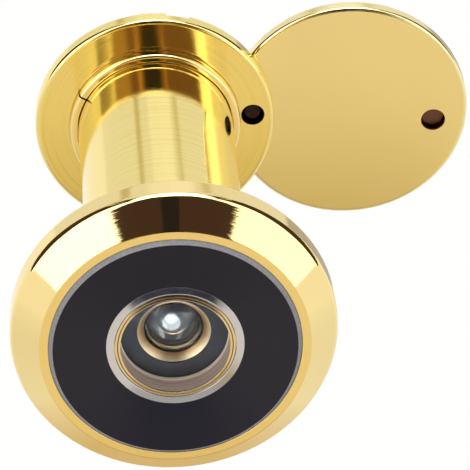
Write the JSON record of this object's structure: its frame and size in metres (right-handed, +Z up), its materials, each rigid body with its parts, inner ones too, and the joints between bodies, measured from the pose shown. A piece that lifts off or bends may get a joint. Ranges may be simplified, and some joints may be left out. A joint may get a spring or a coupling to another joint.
{
  "type": "door viewer",
  "caption": "Door viewer with a bevelled round bezel, wide-angle lens stack, screw-adjusted sleeve and a swinging privacy cover.",
  "frame": {"origin": "centre of the door's outdoor face, where the bezel seats, on the barrel's axis", "axes": "+Y along the barrel from outdoors to indoors, +Z up, and the open privacy cover to +X"},
  "size_m": [0.0425, 0.042, 0.028],
  "materials": {
    "gilt_mirror": "polished and gilt plated",
    "gilt_satin": "fine satin gilt plating",
    "turned_gilt": "turned, gilt plated",
    "black_glaze": "satin black with ground grey edges",
    "lens_glass": "polished optical glass",
    "blackened": "matte black",
    "spring_steel": "bright spring steel",
    "browned_steel": "dark browned steel"
  },
  "bodies": {
    "outdoor_half": {"outdoor_housing": "gilt_mirror", "face_ring": "black_glaze", "objective_lens": "lens_glass", "aperture_washer": "blackened", "front_spacer": "turned_gilt", "second_lens": "lens_glass", "middle_spacer": "blackened", "third_lens": "lens_glass", "lens_retaining_ring": "turned_gilt"},
    "collar": {"collar_ring": "gilt_mirror"},
    "indoor_half": {"indoor_sleeve": "gilt_mirror", "eyepiece_lens": "lens_glass", "field_stop": "blackened", "eyepiece_retaining_ring": "turned_gilt", "pivot_rivet": "browned_steel", "pivot_spring_washer": "spring_steel"},
    "cover": {"privacy_cover": "gilt_satin", "finger_stud": "gilt_mirror"}
  },
  "joints": [
    {"name": "grip_slide", "type": "slide", "parent": "outdoor_half", "child": "collar", "axis": [0, 1, 0], "range_m": [-0.0021, 0.0141]},
    {"name": "sleeve_screw", "type": "hinge", "parent": "collar", "child": "indoor_half", "pos_m": [0, 0, 0], "axis": [0, 1, 0], "range_deg": [-720, 5040]},
    {"name": "cover_swing", "type": "hinge", "parent": "indoor_half", "child": "cover", "pos_m": [0.00882, 0, 0.00102], "axis": [0, 1, 0], "range_deg": [-190.6, 169.4]}
  ],
  "couplings": [
    {"joint": "grip_slide", "follows": "sleeve_screw", "m_per_rad": 0.00015915}
  ]
}
